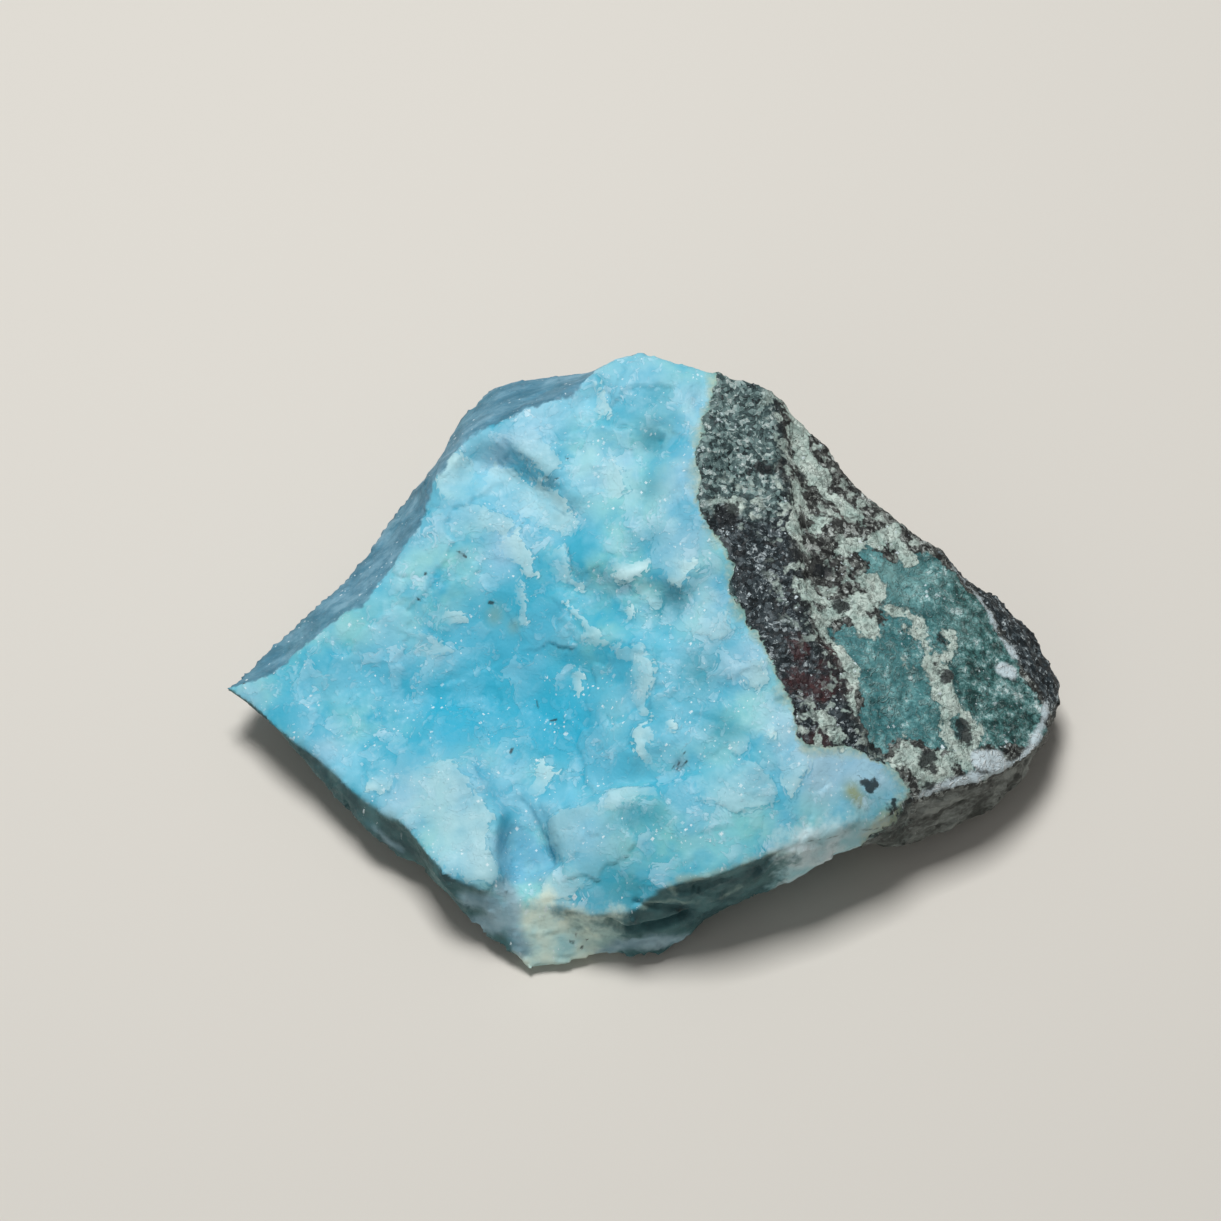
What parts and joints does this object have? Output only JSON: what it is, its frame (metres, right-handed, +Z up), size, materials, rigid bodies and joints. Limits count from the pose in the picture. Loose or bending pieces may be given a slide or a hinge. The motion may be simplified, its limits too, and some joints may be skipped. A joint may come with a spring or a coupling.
{
  "type": "rough larimar",
  "caption": "Rough broken piece of blue larimar grown on dark wall rock with a green face, lying on a flat underside facet.",
  "frame": {"origin": "on the resting surface, under the middle of the stone's box", "axes": "+X along the longest extent, from the blue pointed tip to the green rounded end; +Z up, the shortest extent; -Y towards the low front tip"},
  "size_m": [0.0302, 0.0218, 0.0091],
  "materials": {
    "larimar_stone": "rough broken stone, waxy sky blue with paler flakes, dark speckled grey and sea-green wall rock at one end"
  },
  "bodies": {
    "root": {"larimar_stone": "larimar_stone"}
  },
  "joints": []
}
